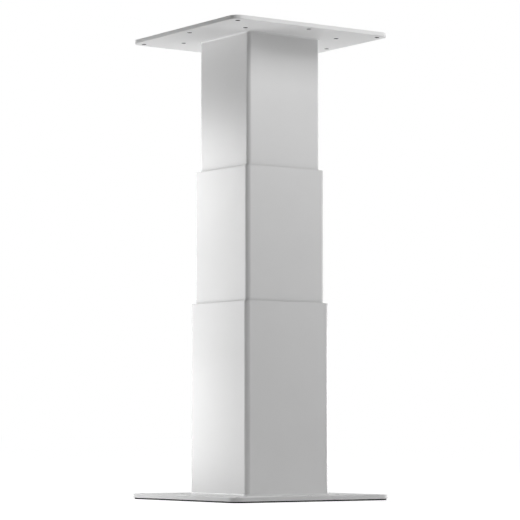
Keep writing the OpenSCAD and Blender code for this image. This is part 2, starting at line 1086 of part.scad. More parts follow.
// A tray whose skirt takes the wall screws.
module upper_bracket() {
    skirt_w = upper_w - 2 * wall;
    skirt_r = upper_r - wall + corner_ease;
    color(alloy)
        translate([0, 0, lift_2])
            difference() {
                translate([0, 0, upper_plate_z]) {
                    linear_extrude(bracket_t)
                        difference() {
                            bracket_outline(upper_w, upper_r);
                            translate([spindle_x, 0]) {
                                circle(upper_nut_r + seat_gap);
                                on_circle(upper_nut_screw_at, 4, 45)
                                    circle(m3_r + seat_gap);
                            }
                        }
                    linear_extrude(upper_skirt_h)
                        difference() {
                            rounded_square(skirt_w, skirt_r);
                            rounded_square(skirt_w - 2 * upper_skirt_t, skirt_r - upper_skirt_t);
                        }
                }
                wall_screw_places(upper_w, upper_plate_z + bracket_t / 2)
                    translate([0, 0, -upper_wall_screw_depth])
                        cylinder(r = m4_r + seat_gap, h = upper_wall_screw_depth + past);
            }
}

module upper_bracket_screws() {
    color(zinc)
        translate([0, 0, lift_2])
            wall_screw_places(upper_w, upper_plate_z + bracket_t / 2)
                countersunk_screw(m4_r, upper_wall_screw_len);
}

module upper_nut() {
    color(brass)
        translate([spindle_x, 0, lift_2])
            difference() {
                union() {
                    translate([0, 0, upper_flange_z])
                        cylinder(r = upper_flange_r, h = upper_flange_t);
                    translate([0, 0, upper_flange_z])
                        cylinder(r = upper_nut_r, h = upper_nut_h);
                }
                translate([0, 0, upper_flange_z - past])
                    cylinder(r = hollow_r + run_gap, h = upper_nut_h + 2 * past);
                translate([0, 0, upper_flange_z - past])
                    on_circle(upper_nut_screw_at, 4, 45)
                        cylinder(r = m3_r + seat_gap, h = upper_flange_t + 2 * past);
            }
}

module upper_nut_screws() {
    color(zinc)
        translate([spindle_x, 0, lift_2 + upper_plate_z + bracket_t])
            on_circle(upper_nut_screw_at, 4, 45)
                cap_screw(m3_r, upper_nut_screw_len);
}

module top_plate() {
    color(white)
        end_plate(lift_2 + upper_top);
}

module top_weld() {
    color(white)
        translate([0, 0, lift_2 + upper_top])
            mirror([0, 0, 1])
                weld_bead(upper_w, upper_r);
}

foot_pad();
base_plate();
base_weld();
lower_tube();
lower_guide_ring();
gear_housing();
gear_cover();
cover_screws();
drive_screws();
motor_gearhead();
motor_can();
motor_end_cap();
motor_screws();
motor_lead();
inlet_socket();
inlet_insert();
inlet_pins();
inlet_screws();
idler_pin();
spindle_bearing_ring();
spindle_bearing_balls();
lower_spindle();
spindle_bearing_inner();
spindle_gear();
drive_dog();
idler_gear();
motor_shaft();
motor_pinion();
middle_tube();
middle_glides();
middle_guide_ring();
middle_bracket();
middle_bracket_screws();
lower_nut();
lower_nut_screws();
carrier_bearing_ring();
carrier_bearing_balls();
bearing_retainer();
retainer_screws();
upper_spindle();
carrier_bearing_inner();
spindle_circlip();
upper_tube();
upper_glides();
upper_bracket();
upper_bracket_screws();
upper_nut();
upper_nut_screws();
top_plate();
top_weld();
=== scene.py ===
"""Looks of a three-stage electric lifting column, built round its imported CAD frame.

Every length is in metres. The column stands on z = 0 with its front face towards -Y. What shows
from outside is modelled again here, at the CAD's own sizes, with rounded edges, holes, weld
ripples and threads. The pieces inside keep their CAD shape, or get threads. Every piece has a
procedural finish.
"""

import json
import math

import bmesh
import bpy
from mathutils import Matrix, Vector


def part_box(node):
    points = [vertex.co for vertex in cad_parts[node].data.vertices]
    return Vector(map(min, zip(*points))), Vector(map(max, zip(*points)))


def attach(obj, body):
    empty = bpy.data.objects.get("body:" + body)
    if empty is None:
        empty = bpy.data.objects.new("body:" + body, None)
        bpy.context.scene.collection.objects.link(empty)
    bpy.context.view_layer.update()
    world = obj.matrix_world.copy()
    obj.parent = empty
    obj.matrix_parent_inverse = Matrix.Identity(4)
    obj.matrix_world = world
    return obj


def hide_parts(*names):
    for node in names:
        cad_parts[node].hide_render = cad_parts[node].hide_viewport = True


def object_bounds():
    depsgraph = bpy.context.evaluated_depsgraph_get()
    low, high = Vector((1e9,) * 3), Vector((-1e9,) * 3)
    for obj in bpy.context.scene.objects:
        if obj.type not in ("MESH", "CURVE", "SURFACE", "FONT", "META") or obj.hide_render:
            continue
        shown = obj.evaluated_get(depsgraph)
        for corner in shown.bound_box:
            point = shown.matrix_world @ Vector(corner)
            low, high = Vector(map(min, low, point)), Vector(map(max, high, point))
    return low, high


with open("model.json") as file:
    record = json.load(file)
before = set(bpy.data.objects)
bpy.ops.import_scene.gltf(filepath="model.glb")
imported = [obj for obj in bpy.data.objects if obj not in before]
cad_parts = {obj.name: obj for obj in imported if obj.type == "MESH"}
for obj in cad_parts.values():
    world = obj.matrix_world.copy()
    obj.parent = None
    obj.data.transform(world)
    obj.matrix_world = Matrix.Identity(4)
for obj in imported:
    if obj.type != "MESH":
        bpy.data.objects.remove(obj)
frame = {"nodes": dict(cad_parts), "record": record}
cad_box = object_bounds()
mounts = {mount["name"]: mount["dims"] for mount in frame["record"]["mounts"]}

MM = 0.001
Z_AXIS = Vector((0, 0, 1))
UPSIDE_DOWN = Matrix.Rotation(math.pi, 4, "X")


# ---- sizes that the frame gives ----

def box_width(node):
    low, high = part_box(node)
    return high.x - low.x


def box_centre(node):
    """The middle of a CAD node's box, as x, y and z."""
    return [(low + high) / 2 for low, high in zip(*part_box(node))]


PLATE_WIDTH = box_width("top_plate")
# The plates' screw holes, and how far they are from the middle on each axis
HOLE_R = mounts["top_corner_holes"]["hole_r_mm"] * MM
OUTER_HOLES = mounts["top_corner_holes"]["spacing_x_mm"] * MM / 2
INNER_HOLES = mounts["top_inner_holes"]["spacing_x_mm"] * MM / 2

# ---- sizes of the finish ----

# Steps round a square's corner and over a rounded edge, and points round a hole, a screw and a
# spindle
CORNER_STEPS = 12
EDGE_STEPS = 3
HOLE_STEPS = 40
SCREW_STEPS = 24
SPINDLE_STEPS = 48
# Faces that meet at less than this are shaded as one
SHARP_ANGLE = math.radians(40)
# The most that large faces can count for the shading of their edges
FLAT_FACE_WEIGHT = 100

# Plates, and the rubber sheet under the base plate with its holes for the screws' heads
PLATE_CORNER_R = 15 * MM
PLATE_EDGE_R = 0.5 * MM
HOLE_EDGE_R = 0.3 * MM
RUBBER_EDGE_R = 0.4 * MM
PAD_HOLE_R = HOLE_R + 1 * MM
PAD_ACCESS_R = 6 * MM
# The normal of a flat face of a plate has at least this as its z
LEVEL_NORMAL = 0.99

# Tubes: wall, rounding of the rims, and radius of each tube's corners
WALL = 2.5 * MM
RIM_R = 0.4 * MM
TUBE_CORNER_R = {
    "lower_tube": 7.0 * MM,
    "middle_tube": 6.5 * MM,
    "upper_tube": 6.0 * MM,
}
# How far a cutter reaches past each side of a tube's wall
CUT_PAST = 1 * MM

# Buttons of the glide pads, two in each wall of a moving tube
BUTTON_R = 4.02 * MM
BUTTON_ASIDE = 25 * MM

# Guide rings
RING_BELOW_RIM = 0.3 * MM
RING_CHAMFER = 1.2 * MM
RING_LEAD_IN = 0.8 * MM
SLIDE_GAP = 0.3 * MM

# As shares of the pitch: the flat of a thread's root and of its crest, and where its rise ends
THREAD_FLAT = 0.34
THREAD_RISE_END = 0.5

# Screws: a thread's depth is a share of its pitch, and the other shares are of the shank's radius
M4_R = 2.0 * MM
M5_R = 2.5 * MM
SCREW_PITCH = 0.34
SCREW_THREAD_DEPTH = 0.54
SCREW_TIP_R = 0.6
SOCKET_R = 0.7
SOCKET_DEPTH = 0.6
SUNK_HEAD = 1.9
SUNK_BEVEL = 0.05
MIDDLE_WALL_SCREW = 13 * MM
UPPER_WALL_SCREW = 10 * MM
# How much larger a hole's radius is than that of the head or barrel in it
HOLE_GAP = 0.1 * MM

# Power inlet: flange, barrel, threaded collar, four cap screws and four contact pins
INLET_FLANGE_T = 2 * MM
INLET_CORNER_R = 2 * MM
INLET_BEVEL = 0.3 * MM
INLET_BARREL_R = 5.5 * MM
INLET_BORE_R = 4.5 * MM
INLET_COLLAR_R = 6 * MM
INLET_COLLAR_PITCH = 1 * MM
INLET_COLLAR_DEPTH = 0.4 * MM
INLET_SCREW_AT = 6.2 * MM
INLET_SCREW_R = 1.25 * MM
INLET_SCREW_PITCH = 0.45 * MM
INLET_HEAD_R = 2.2 * MM
INLET_HEAD_H = 1.6 * MM
INLET_SOCKET_R = 1.05 * MM
INLET_SOCKET_DEPTH = 0.9 * MM
CONTACT_AT = 2.25 * MM
CONTACT_R = 0.5 * MM
# Where the domed tip of a pin has its rings, from its side up to its end
CONTACT_DOME = [math.radians(angle) for angle in (0, 30, 55, 75)]

# Both spindles: three-start threads with a lead of 12 mm
SPINDLE_PITCH = 4 * MM
SPINDLE_STARTS = 3
SPINDLE_THREAD_DEPTH = 1.4 * MM

# Lower spindle: the pin at its foot, its journal, and the pin on top that carries the dog
LOWER_BEVEL = 0.5 * MM
FOOT_PIN_R = 4 * MM
JOURNAL_R = 5.98 * MM
JOURNAL_BELOW_GEAR = 0.8 * MM
DOG_PIN_R = 5 * MM

# Upper spindle, which is hollow
UPPER_BEVEL = 0.3 * MM
HOLLOW_R = 13 * MM
HOLLOW_JOURNAL_R = 14.98 * MM
HOLLOW_BORE_R = 9 * MM
KEYWAY_R = 11 * MM
KEYWAY_W = 4.2 * MM
COLLAR_T = 3 * MM
CLIP_DEPTH = 1 * MM
CLIP_PLAY = 0.1 * MM

# Weld beads: length of a leg, pitch and depth of the ripples, and the hollow of the face as a
# share of the leg
WELD_LEG = 2.2 * MM
WELD_PITCH = 2.6 * MM
WELD_RIPPLE = 0.14 * MM
WELD_HOLLOW = 0.09
# Steps across a bead, along one ripple, and at the least round a corner
WELD_SECTION_STEPS = 6
WELD_RIPPLE_STEPS = 6
WELD_CORNER_STEPS = 8


# ---- outlines: lists of (x, y), anticlockwise ----

def polar(radius, angle):
    return radius * math.cos(angle), radius * math.sin(angle)


def arc(centre, radius, start, end, steps):
    points = []
    for i in range(steps + 1):
        x, y = polar(radius, math.radians(start + (end - start) * i / steps))
        points.append((centre[0] + x, centre[1] + y))
    return points


def circle(centre, radius, steps=HOLE_STEPS):
    return arc(centre, radius, 0, 360, steps)[:-1]


def rounded_square(width, radius):
    inner = width / 2 - radius
    points = []
    for quarter, (x, y) in enumerate(((1, 1), (-1, 1), (-1, -1), (1, -1))):
        start = 90 * quarter
        points += arc((x * inner, y * inner), radius, start, start + 90, CORNER_STEPS)
    return points


def hexagon(corner_r):
    """A hexagon with as many points as the circles of a screw."""
    half = math.pi / 6
    points = []
    for i in range(SCREW_STEPS):
        angle = 2 * math.pi * i / SCREW_STEPS
        reach = corner_r * math.cos(half) / math.cos(angle % (2 * half) - half)
        points.append(polar(reach, angle))
    return points


def four_corners(at):
    return [(x, y) for x in (-at, at) for y in (-at, at)]


# ---- rings: an outline and its height, to be stacked ----

def circles(pairs, steps=SCREW_STEPS):
    """Rings round the Z axis from (radius, z) pairs."""
    return [(circle((0, 0), radius, steps), z) for radius, z in pairs]


def squares(triples):
    """Rings round the Z axis from (width, corner radius, z)."""
    return [(rounded_square(width, radius), z) for width, radius, z in triples]


def edge_profile(z0, z1, edge_r):
    """(inset, z) pairs from z0 up to z1, with both ends rounded over by edge_r."""
    turns = [math.pi / 2 * i / EDGE_STEPS for i in range(EDGE_STEPS + 1)]
    foot = [(edge_r * (1 - math.sin(t)), z0 + edge_r * (1 - math.cos(t))) for t in turns]
    head = [(inset, z1 - (z - z0)) for inset, z in reversed(foot)]
    return foot + head


# ---- meshes ----

def bridge(mesh, lower, upper):
    """Quads between two closed rings of the same number of points."""
    count = len(lower)
    for i in range(count):
        j = (i + 1) % count
        mesh.faces.new((lower[i], lower[j], upper[j], upper[i]))


def stack(mesh, outlines):
    """Joins rings, given as (outline, z), one on the next, and returns the first and last."""
    rings = [[mesh.verts.new((x, y, z)) for x, y in outline] for outline, z in outlines]
    for lower, upper in zip(rings, rings[1:]):
        bridge(mesh, lower, upper)
    return rings[0], rings[-1]


def pipe(mesh, outside, inside):
    """A hollow part between two stacks of rings, closed at both ends."""
    outer_low, outer_high = stack(mesh, outside)
    inner_low, inner_high = stack(mesh, inside)
    bridge(mesh, outer_low, inner_low)
    bridge(mesh, outer_high, inner_high)


def ring_edges(verts):
    """The edges between the neighbours in a closed ring."""
    count = len(verts)
    found = []
    for i in range(count):
        pair = {verts[i], verts[(i + 1) % count]}
        found += [edge for edge in verts[i].link_edges if set(edge.verts) == pair]
    return found


def fill(mesh, rings, normal):
    """A flat face between an outer ring and the rings of its holes."""
    edges = [edge for verts in rings for edge in ring_edges(verts)]
    bmesh.ops.triangle_fill(mesh, use_beauty=True, edges=edges, normal=normal)


def place_new(mesh, count_before, place):
    """Moves the vertices made since the mesh had that many."""
    mesh.verts.ensure_lookup_table()
    bmesh.ops.transform(mesh, matrix=place, verts=mesh.verts[count_before:])


def rod(mesh, place, rings):
    """A solid turned part, closed at both ends."""
    before = len(mesh.verts)
    low, high = stack(mesh, rings)
    mesh.faces.new(low)
    mesh.faces.new(high)
    place_new(mesh, before, place)


def finish_mesh(mesh, name):
    """Makes the mesh an object, smooth everywhere but at its sharp edges."""
    bmesh.ops.recalc_face_normals(mesh, faces=mesh.faces)
    for edge in mesh.edges:
        edge.smooth = len(edge.link_faces) != 2 or edge.calc_face_angle() < SHARP_ANGLE
    data = bpy.data.meshes.new(name)
    mesh.to_mesh(data)
    mesh.free()
    data.polygons.foreach_set("use_smooth", [True] * len(data.polygons))
    made = bpy.data.objects.new(name, data)
    bpy.context.scene.collection.objects.link(made)
    return made


def flat_faces_stay_flat(piece):
    weighted = piece.modifiers.new("weighted_normals", "WEIGHTED_NORMAL")
    weighted.mode = "FACE_AREA"
    weighted.weight = FLAT_FACE_WEIGHT
    weighted.keep_sharp = True


def dress(piece, body, material, node):
    """Gives a piece its material and body, and hides the CAD node that it stands for."""
    piece.data.materials.append(materials[material])
    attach(piece, body)
    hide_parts(node)


# ---- materials ----

# Most values of a noise texture lie between these
NOISE_RANGE = (0.3, 0.7)
# A wave texture repeats after this length at a scale of 1
WAVE_LENGTH = math.pi / 10

# What each finish is made of, with lengths in metres:
# mottle: noise of that size takes the colour down to the share "darker" of it
# gloss: noise of that size varies the roughness by that amount to both sides
# bumps: noise of that size and depth
# turned: lines round the Z axis at that pitch, of that depth
FINISHES = {
    "white_coat": {
        "color": (0.80, 0.80, 0.80), "roughness": 0.24,
        "mottle": {"size": 60 * MM, "detail": 3.0, "darker": 0.985},
        "gloss": {"size": 9 * MM, "detail": 2.0, "amount": 0.02},
        "bumps": (
            {"size": 2.2 * MM, "detail": 1.0, "depth": 0.012 * MM},
            {"size": 0.5 * MM, "detail": 1.0, "depth": 0.003 * MM},
        ),
    },
    # The walls of the plates' holes: near black, painted shade standing in for the shade inside
    # them, though the coat covers them too
    "hole_wall_painted_shade": {
        "color": (0.05, 0.05, 0.05), "roughness": 0.8, "specular": 0.15,
        "mottle": {"size": 2 * MM, "detail": 3.0, "darker": 0.6},
        "bumps": ({"size": 0.4 * MM, "detail": 2.0, "stretch": (1, 1, 0.2), "depth": 0.02 * MM},),
    },
    "rubber": {
        "color": (0.010, 0.010, 0.010), "roughness": 0.75, "specular": 0.15,
        "mottle": {"size": 8 * MM, "detail": 4.0, "darker": 0.7},
        "gloss": {"size": 3 * MM, "detail": 2.0, "amount": 0.06},
        "bumps": ({"size": 0.4 * MM, "detail": 2.0, "depth": 0.03 * MM},),
    },
    "guide_plastic": {
        "color": (0.022, 0.022, 0.024), "roughness": 0.42,
        "gloss": {"size": 5 * MM, "detail": 2.0, "amount": 0.05},
        "bumps": ({"size": 0.3 * MM, "detail": 2.0, "depth": 0.006 * MM},),
    },
    "cast_alloy": {
        "color": (0.55, 0.56, 0.57), "roughness": 0.48, "metallic": 1.0,
        "mottle": {"size": 12 * MM, "detail": 4.0, "darker": 0.82},
        "gloss": {"size": 2 * MM, "detail": 3.0, "amount": 0.08},
        "bumps": ({"size": 0.6 * MM, "detail": 3.0, "depth": 0.03 * MM},),
    },
    "bright_steel": {
        "color": (0.56, 0.57, 0.58), "roughness": 0.24, "metallic": 1.0,
        "mottle": {"size": 15 * MM, "detail": 2.0, "stretch": (1, 1, 6), "darker": 0.92},
        "gloss": {"size": 1.5 * MM, "detail": 2.0, "stretch": (1, 1, 12), "amount": 0.06},
        "turned": {"pitch": 0.25 * MM, "distortion": 0.4, "depth": 0.0015 * MM},
    },
    "zinc_plate": {
        "color": (0.60, 0.61, 0.62), "roughness": 0.33, "metallic": 1.0,
        "mottle": {"size": 4 * MM, "detail": 3.0, "darker": 0.85},
        "gloss": {"size": 1.2 * MM, "detail": 3.0, "amount": 0.08},
        "bumps": ({"size": 0.35 * MM, "detail": 2.0, "depth": 0.004 * MM},),
    },
    "cap_plastic": {
        "color": (0.02, 0.02, 0.021), "roughness": 0.5,
        "gloss": {"size": 4 * MM, "detail": 2.0, "amount": 0.06},
        "bumps": ({"size": 0.25 * MM, "detail": 2.0, "depth": 0.012 * MM},),
    },
    "lead_jacket": {
        "color": (0.016, 0.016, 0.016), "roughness": 0.45,
        "gloss": {"size": 6 * MM, "detail": 2.0, "amount": 0.05},
        "bumps": ({"size": 0.8 * MM, "detail": 1.0, "depth": 0.006 * MM},),
    },
    "nut_bronze": {
        "color": (0.62, 0.43, 0.19), "roughness": 0.3, "metallic": 1.0,
        "mottle": {"size": 5 * MM, "detail": 3.0, "darker": 0.86},
        "gloss": {"size": 2 * MM, "detail": 2.0, "amount": 0.06},
        "turned": {"pitch": 0.3 * MM, "distortion": 0.5, "depth": 0.003 * MM},
    },
    "contact_brass": {
        "color": (0.72, 0.52, 0.22), "roughness": 0.2, "metallic": 1.0,
        "mottle": {"size": 1 * MM, "detail": 2.0, "darker": 0.9},
        "bumps": ({"size": 0.3 * MM, "detail": 1.0, "depth": 0.002 * MM},),
    },
}
# The plates have the tubes' coat with less gloss
FINISHES["plate_coat"] = {**FINISHES["white_coat"], "roughness": 0.5}


def add_node(tree, kind, values):
    """A new shader node, with the values for its sockets by name."""
    made = tree.nodes.new(kind)
    for name, value in values.items():
        made.inputs[name].default_value = value
    return made


class Finish:
    """A Principled material whose variation comes from procedural textures."""

    def __init__(self, name, color, roughness, metallic=0.0, specular=0.5):
        self.material = bpy.data.materials.new(name + "_finish")
        self.material.use_nodes = True
        self.tree = self.material.node_tree
        self.shader = self.tree.nodes["Principled BSDF"]
        self.shader.inputs["Base Color"].default_value = (*color, 1.0)
        self.shader.inputs["Roughness"].default_value = roughness
        self.shader.inputs["Metallic"].default_value = metallic
        self.shader.inputs["Specular IOR Level"].default_value = specular
        self.color = color
        self.roughness = roughness
        self.place = self.tree.nodes.new("ShaderNodeTexCoord").outputs["Object"]
        self.normal = None

    def link(self, start, end):
        self.tree.links.new(start, end)

    def noise(self, size, detail, stretch=(1, 1, 1)):
        mapping = add_node(self.tree, "ShaderNodeMapping", {"Scale": stretch})
        texture = add_node(self.tree, "ShaderNodeTexNoise", {"Scale": 1 / size, "Detail": detail})
        self.link(self.place, mapping.inputs["Vector"])
        self.link(mapping.outputs["Vector"], texture.inputs["Vector"])
        return texture.outputs["Fac"]

    def spread(self, source, low, high):
        """Runs from low to high as a noise texture runs through its usual range."""
        scale = add_node(self.tree, "ShaderNodeMapRange", {
            "From Min": NOISE_RANGE[0],
            "From Max": NOISE_RANGE[1],
            "To Min": low,
            "To Max": high,
        })
        self.link(source, scale.inputs["Value"])
        return scale.outputs["Result"]

    def relief(self, source, depth):
        """Adds a height of that depth to those already there."""
        bump = add_node(self.tree, "ShaderNodeBump", {"Distance": depth})
        self.link(source, bump.inputs["Height"])
        if self.normal is not None:
            self.link(self.normal, bump.inputs["Normal"])
        self.normal = bump.outputs["Normal"]
        self.link(self.normal, self.shader.inputs["Normal"])

    def mottle(self, darker, **noise):
        mix = self.tree.nodes.new("ShaderNodeMix")
        mix.data_type = "RGBA"
        mix.inputs["A"].default_value = (*(channel * darker for channel in self.color), 1.0)
        mix.inputs["B"].default_value = (*self.color, 1.0)
        self.link(self.spread(self.noise(**noise), 0.0, 1.0), mix.inputs["Factor"])
        self.link(mix.outputs["Result"], self.shader.inputs["Base Color"])

    def gloss(self, amount, **noise):
        source = self.noise(**noise)
        value = self.spread(source, self.roughness - amount, self.roughness + amount)
        self.link(value, self.shader.inputs["Roughness"])

    def bumps(self, depth, **noise):
        self.relief(self.noise(**noise), depth)

    def turned(self, pitch, distortion, depth):
        scale = WAVE_LENGTH / pitch
        lines = add_node(
            self.tree, "ShaderNodeTexWave", {"Scale": scale, "Distortion": distortion})
        lines.bands_direction = "Z"
        self.link(self.place, lines.inputs["Vector"])
        self.relief(lines.outputs["Fac"], depth)


def make_finish(name, mottle=None, gloss=None, bumps=(), turned=None, **base):
    finish = Finish(name, **base)
    if mottle:
        finish.mottle(**mottle)
    if gloss:
        finish.gloss(**gloss)
    for bump in bumps:
        finish.bumps(**bump)
    if turned:
        finish.turned(**turned)
    return finish.material


materials = {name: make_finish(name, **look) for name, look in FINISHES.items()}


# ---- threads and screws, made round the Z axis ----

def thread(mesh, crest_r, depth, pitch, starts, z0, z1, steps):
    """A right-handed thread that runs out at both ends. Returns its lowest and highest ring.

    Each column of vertices climbs the thread's section at one angle, and starts a little higher
    than the column before it. After a full turn that is one lead, so the last column meets the
    first one as many threads further up as there are starts.
    """
    root_r = crest_r - depth
    section = (
        (0.0, root_r),
        (THREAD_FLAT, root_r),
        (THREAD_RISE_END, crest_r),
        (THREAD_RISE_END + THREAD_FLAT, crest_r),
    )
    lead = pitch * starts
    threads = math.ceil((z1 - z0) / pitch) + starts + 1
    columns = []
    for i in range(steps):
        angle = 2 * math.pi * i / steps
        ahead = lead * i / steps - lead
        foot, head = (mesh.verts.new((*polar(root_r, angle), z)) for z in (z0, z1))
        column = []
        for k in range(threads):
            for share, radius in section:
                z = z0 + ahead + (k + share) * pitch
                if z0 < z < z1:
                    column.append(mesh.verts.new((*polar(radius, angle), z)))
                else:
                    column.append(foot if z <= z0 else head)
        columns.append(column)
    for i, column in enumerate(columns):
        beside = columns[(i + 1) % steps]
        shift = 0 if i + 1 < steps else starts * len(section)
        for k in range(len(column) - shift - 1):
            corners = (column[k], beside[k + shift], beside[k + shift + 1], column[k + 1])
            # Below z0 and above z1 the corners fall together
            corners = list(dict.fromkeys(corners))
            if len(corners) > 2:
                mesh.faces.new(corners)
    return [column[0] for column in columns], [column[-1] for column in columns]


def screw(mesh, place, shank_r, length, pitch, head, socket_r, socket_depth):
    """A screw whose top face is at height 0. head lists (radius, z) from the shank to that face."""
    before = len(mesh.verts)
    low, high = thread(
        mesh, crest_r=shank_r, depth=SCREW_THREAD_DEPTH * pitch, pitch=pitch, starts=1,
        z0=pitch / 2 - length, z1=head[0][1], steps=SCREW_STEPS)
    tip, _ = stack(mesh, circles([(SCREW_TIP_R * shank_r, -length)]))
    bridge(mesh, tip, low)
    mesh.faces.new(tip)
    socket = hexagon(socket_r)
    rings = circles(head) + [(socket, 0), (socket, -socket_depth)]
    head_low, socket_floor = stack(mesh, rings)
    bridge(mesh, high, head_low)
    mesh.faces.new(socket_floor)
    place_new(mesh, before, place)


def sunk_screw(mesh, place, shank_r, length):
    head_r = SUNK_HEAD * shank_r
    bevel = SUNK_BEVEL * shank_r
    head = [(shank_r, shank_r - head_r), (head_r, -bevel), (head_r - bevel, 0)]
    pitch = SCREW_PITCH * shank_r
    socket_r = SOCKET_R * shank_r
    screw(mesh, place, shank_r, length, pitch, head, socket_r, SOCKET_DEPTH * shank_r)


def sunk_hole(shank_r, z0, z1):
    """(radius, z) pairs of a hole whose countersink opens at z0."""
    mouth = SUNK_HEAD * shank_r + HOLE_GAP
    bore = shank_r + HOLE_GAP / 2
    return [(mouth, z0), (bore, z0 + mouth - bore), (bore, z1)]


def screw_corners(node, head_r):
    """Centres of four upright screws, from the box round their heads."""
    low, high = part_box(node)
    sides = (low.x + head_r, high.x - head_r)
    return [(x, y) for x in sides for y in (low.y + head_r, high.y - head_r)]


# ---- plates ----

def plate_hole_places():
    """Centres of a plate's 12 holes: one at each corner and side, and four further in."""
    steps = (-OUTER_HOLES, 0, OUTER_HOLES)
    return [(x, y) for x in steps for y in steps if x or y] + four_corners(INNER_HOLES)


def drill(mesh, place, profile):
    """The wall of a round hole along Z, from (radius, z) pairs. Returns its end rings."""
    return stack(mesh, [(circle(place, radius), z) for radius, z in profile])


def plate_shell(mesh, width, corner_r, z0, z1, edge_r, holes):
    """A square plate with rounded corners and edges. holes lists (place, profile) pairs."""
    profile = edge_profile(z0, z1, edge_r)
    outside = squares((width - 2 * inset, corner_r - inset, z) for inset, z in profile)
    low_rings, high_rings = zip(stack(mesh, outside), *(drill(mesh, *hole) for hole in holes))
    fill(mesh, low_rings, -Z_AXIS)
    fill(mesh, high_rings, Z_AXIS)


def plate(node, corner_r, edge_r, plain_holes, sunk_places=()):
    """A plate of the CAD's size.

    plain_holes lists (radius, places). The holes at sunk_places are countersunk from below.
    """
    low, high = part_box(node)
    holes = []
    for radius, places in plain_holes:
        wall = [(radius + inset, z) for inset, z in edge_profile(low.z, high.z, HOLE_EDGE_R)]
        holes += [(place, wall) for place in places]
    holes += [(place, sunk_hole(M5_R, low.z, high.z)) for place in sunk_places]
    mesh = bmesh.new()
    plate_shell(mesh, high.x - low.x, corner_r, low.z, high.z, edge_r, holes)
    made = finish_mesh(mesh, node + "_finish")
    flat_faces_stay_flat(made)
    return made


def coat_plate(piece):
    """The plates' coat is less glossy. What isn't flat inside their outline is a hole's wall, which
    gets a near-black painted shade.
    """
    piece.data.materials[0] = materials["plate_coat"]
    # The second material paints shade on the holes' walls
    piece.data.materials.append(materials["hole_wall_painted_shade"])
    inside = (PLATE_WIDTH - PLATE_CORNER_R) / 2
    for face in piece.data.polygons:
        from_axis = max(abs(face.center.x), abs(face.center.y))
        if abs(face.normal.z) < LEVEL_NORMAL and from_axis < inside:
            face.material_index = 1


def build_plates():
    places = plate_hole_places()
    drive_places = screw_corners("drive_screws", SUNK_HEAD * M5_R)

    top = plate("top_plate", PLATE_CORNER_R, PLATE_EDGE_R, [(HOLE_R, places)])
    dress(top, "upper", "white_coat", "top_plate")
    coat_plate(top)

    base = plate("base_plate", PLATE_CORNER_R, PLATE_EDGE_R, [(HOLE_R, places)], drive_places)
    dress(base, "base", "white_coat", "base_plate")
    coat_plate(base)

    pad_corner_r = PLATE_CORNER_R - (PLATE_WIDTH - box_width("foot_pad")) / 2
    pad_holes = [(PAD_HOLE_R, places), (PAD_ACCESS_R, drive_places)]
    pad = plate("foot_pad", pad_corner_r, RUBBER_EDGE_R, pad_holes)
    dress(pad, "base", "rubber", "foot_pad")


# ---- tubes ----

def square_tube(name, width, corner_r, z0, z1):
    bore = width - 2 * WALL
    bore_r = corner_r - WALL
    profile = edge_profile(z0, z1, RIM_R)
    mesh = bmesh.new()
    pipe(
        mesh,
        squares((width - 2 * inset, corner_r - inset, z) for inset, z in profile),
        squares((bore + 2 * inset, bore_r + inset, z) for inset, z in profile),
    )
    return finish_mesh(mesh, name)


def side_place(quarter, reach, aside, z):
    """A place on one side of a square tube, with its own +Z pointing out of the wall."""
    turn = Matrix.Rotation(math.pi / 2 * quarter, 4, "Z")
    return turn @ Matrix.Translation((reach, aside, z)) @ Matrix.Rotation(math.pi / 2, 4, "Y")


def inlet_place():
    """The inlet's seat on the rear face, with its own +Z pointing out of it."""
    x, _, z = box_centre("inlet_socket")
    seat = Matrix.Translation((x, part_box("lower_tube")[1].y, z))
    return seat @ Matrix.Rotation(-math.pi / 2, 4, "X")


def cut(piece, cutter_mesh):
    """Takes the cutter's shells out of the piece."""
    cutter = finish_mesh(cutter_mesh, piece.name + "_cutter")
    boolean = piece.modifiers.new("cut", "BOOLEAN")
    boolean.operation = "DIFFERENCE"
    boolean.solver = "EXACT"
    boolean.object = cutter
    evaluated = piece.evaluated_get(bpy.context.evaluated_depsgraph_get())
    piece.data = bpy.data.meshes.new_from_object(evaluated)
    piece.modifiers.clear()
    bpy.data.objects.remove(cutter)


def wall_rod(mesh, place, radius):
    """A cutter for a plain hole through a tube's wall."""
    rod(mesh, place, circles([(radius, -WALL - CUT_PAST), (radius, CUT_PAST)]))


def lower_tube_holes():
    """Cutters for the inlet's barrel and its screws."""
    mesh = bmesh.new()
    wall_rod(mesh, inlet_place(), INLET_BARREL_R + HOLE_GAP)
    for x, y in four_corners(INLET_SCREW_AT):
        wall_rod(mesh, inlet_place() @ Matrix.Translation((x, y, 0)), INLET_SCREW_R)
    return mesh


def moving_tube_holes(stage):
    """Cutters for the buttons of a stage's glide pads and its bracket's countersunk screws."""
    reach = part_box(stage + "_tube")[1].x
    button_z = box_centre(stage + "_glides")[2]
    screw_z = box_centre(stage + "_bracket_screws")[2]
    countersink = sunk_hole(M4_R, 0, WALL + CUT_PAST)
    mouth_r = countersink[0][0]
    mesh = bmesh.new()
    for quarter in range(4):
        for aside in (-BUTTON_ASIDE, BUTTON_ASIDE):
            wall_rod(mesh, side_place(quarter, reach, aside, button_z), BUTTON_R)
        inward = side_place(quarter, reach, 0, screw_z) @ UPSIDE_DOWN
        rod(mesh, inward, circles([(mouth_r, -CUT_PAST)] + countersink))
    return mesh


def build_tubes():
    for node, body, cutter in (
        ("lower_tube", "base", lower_tube_holes()),
        ("middle_tube", "middle", moving_tube_holes("middle")),
        ("upper_tube", "upper", moving_tube_holes("upper")),
    ):
        low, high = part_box(node)
        name = node + "_finish"
        made = square_tube(name, high.x - low.x, TUBE_CORNER_R[node], low.z, high.z)
        cut(made, cutter)
        flat_faces_stay_flat(made)
        dress(made, body, "white_coat", node)


# ---- weld beads ----

